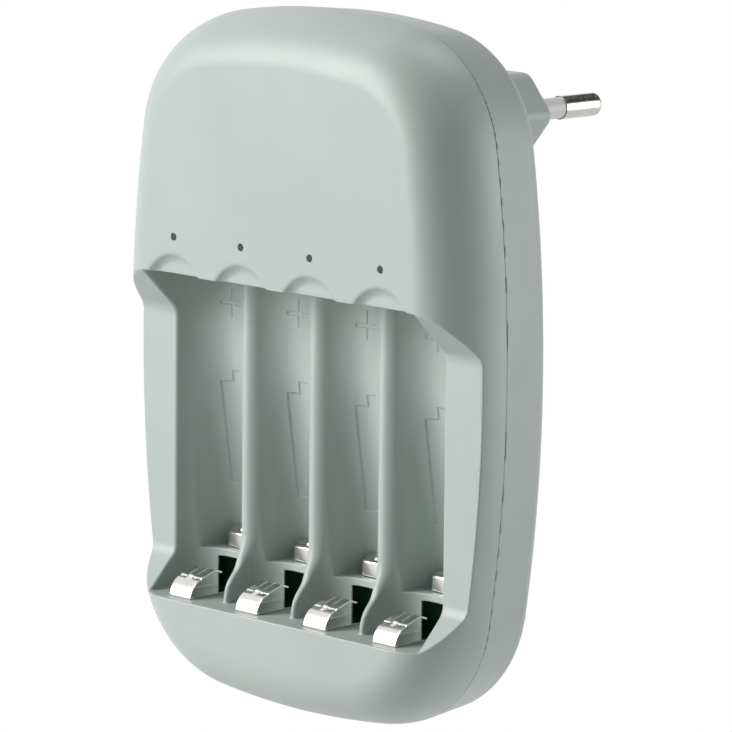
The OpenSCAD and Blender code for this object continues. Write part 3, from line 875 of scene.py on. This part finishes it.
# Plug pins
# Turned brass, nickel-plated, with a moulded sleeve over the shank and a bare rounded tip. They stand in
# the boss, and a brass strip leads from each to the main board.
pin_metal = grained_material(
    "pin_metal", plated_shine, (0.60, 0.575, 0.54, 1), roughness=0.16, bump=0.15, metallic=1)
sleeve_plastic = grained_material(
    "sleeve_plastic", moulded_grain, (0.70, 0.71, 0.69, 1), roughness=0.4, bump=0.2)
strip_brass = grained_material(
    "strip_brass", plated_shine, (0.80, 0.60, 0.27, 1), roughness=0.25, bump=0.2, metallic=1)
dress(pin_metal, "plug_pin_left", "plug_pin_right")
dress(sleeve_plastic, "pin_sleeve_left", "pin_sleeve_right")
dress(strip_brass, "pin_strip_left", "pin_strip_right")


# Studio
# A white room with a large soft lamp at the front left, and weaker ones at the back right and above.
# The floor lies well below, because the charger hangs by its pins and casts no shadow near itself.
bpy.context.scene.view_settings.view_transform = "Standard"
object_middle = Vector((0, -0.03, -0.04))
lamp_distance = 1.3


def soft_lamp(name, azimuth, elevation, width, height, power):
    """A softbox that faces the object from that side."""
    data = bpy.data.lights.new(name, "AREA")
    data.shape = "RECTANGLE"
    data.size = width
    data.size_y = height
    data.energy = power
    lamp = bpy.data.objects.new(name, data)
    way = direction(math.radians(azimuth), math.radians(elevation))
    lamp.location = object_middle + way * lamp_distance
    lamp.rotation_mode = "QUATERNION"
    lamp.rotation_quaternion = way.to_track_quat("Z", "Y")
    bpy.context.scene.collection.objects.link(lamp)


soft_lamp("key_lamp", azimuth=-36, elevation=24, width=0.7, height=1.1, power=24)
soft_lamp("side_lamp", azimuth=128, elevation=5, width=0.7, height=0.9, power=8.8)
soft_lamp("back_lamp", azimuth=180, elevation=65, width=0.8, height=0.7, power=5.5)


def seen_white(tree, mirrored=None):
    """1 for what the camera sees, also mirrored or through glass, and 0 for light that falls on things."""
    path = tree.nodes.new("ShaderNodeLightPath")
    glossy = path.outputs["Is Glossy Ray"]
    if mirrored:
        glossy = scaled_value(tree, glossy, mirrored)
    total = path.outputs["Is Camera Ray"]
    for share in (glossy, path.outputs["Is Transmission Ray"]):
        more = tree.nodes.new("ShaderNodeMath")
        more.operation = "MAXIMUM"
        tree.links.new(total, more.inputs[0])
        tree.links.new(share, more.inputs[1])
        total = more.outputs["Value"]
    return total


room_fill = 0.03
dark_way = (0, 0.75, 0.66)
dark_from = 0.76
dark_full = 0.90
dark_level = 0.03

world = bpy.data.worlds.new("white_room")
world.use_nodes = True
bpy.context.scene.world = world
room_tree = world.node_tree
room_light = room_tree.nodes["Background"]
room_light.inputs["Color"].default_value = (1, 1, 1, 1)
# In reflections the room's upper back is dark, which gives the bright metal its contrast
room_way = room_tree.nodes.new("ShaderNodeTexCoord").outputs["Generated"]
room_corner = room_tree.nodes.new("ShaderNodeVectorMath")
room_corner.operation = "DOT_PRODUCT"
room_corner.inputs[1].default_value = dark_way
room_tree.links.new(room_way, room_corner.inputs[0])
room_shade = room_tree.nodes.new("ShaderNodeMapRange")
room_shade.interpolation_type = "SMOOTHSTEP"
room_shade.inputs["From Min"].default_value = dark_from
room_shade.inputs["From Max"].default_value = dark_full
room_shade.inputs["To Min"].default_value = 1
room_shade.inputs["To Max"].default_value = dark_level
room_tree.links.new(room_corner.outputs["Value"], room_shade.inputs["Value"])
room_level = room_tree.nodes.new("ShaderNodeMapRange")
room_level.inputs["To Min"].default_value = room_fill
room_level.inputs["To Max"].default_value = 1
room_tree.links.new(seen_white(room_tree, room_shade.outputs["Result"]), room_level.inputs["Value"])
room_tree.links.new(room_level.outputs["Result"], room_light.inputs["Strength"])

floor_z = -0.35
floor_r = 0.8
floor_glow_share = 0.7
floor_mesh = bpy.data.meshes.new("floor")
floor_sheet = bmesh.new()
bmesh.ops.create_circle(floor_sheet, cap_ends=True, segments=96, radius=floor_r)
floor_sheet.to_mesh(floor_mesh)
floor_sheet.free()
floor = bpy.data.objects.new("floor", floor_mesh)
floor.location = (0, 0, floor_z)
bpy.context.scene.collection.objects.link(floor)
floor_white = bpy.data.materials.new("floor_white")
floor_white.use_nodes = True
floor_tree = floor_white.node_tree
floor_shader = floor_tree.nodes["Principled BSDF"]
floor_shader.inputs["Base Color"].default_value = (0.9, 0.9, 0.9, 1)
floor_shader.inputs["Roughness"].default_value = 0.9
floor_glow = floor_tree.nodes.new("ShaderNodeEmission")
floor_mix = floor_tree.nodes.new("ShaderNodeMixShader")
floor_share = floor_tree.nodes.new("ShaderNodeMath")
floor_share.operation = "MULTIPLY"
floor_share.inputs[1].default_value = floor_glow_share
floor_tree.links.new(seen_white(floor_tree), floor_share.inputs[0])
floor_tree.links.new(floor_share.outputs["Value"], floor_mix.inputs["Fac"])
floor_tree.links.new(floor_shader.outputs["BSDF"], floor_mix.inputs[1])
floor_tree.links.new(floor_glow.outputs["Emission"], floor_mix.inputs[2])
floor_tree.links.new(floor_mix.outputs["Shader"], floor_tree.nodes["Material Output"].inputs["Surface"])
floor_mesh.materials.append(floor_white)
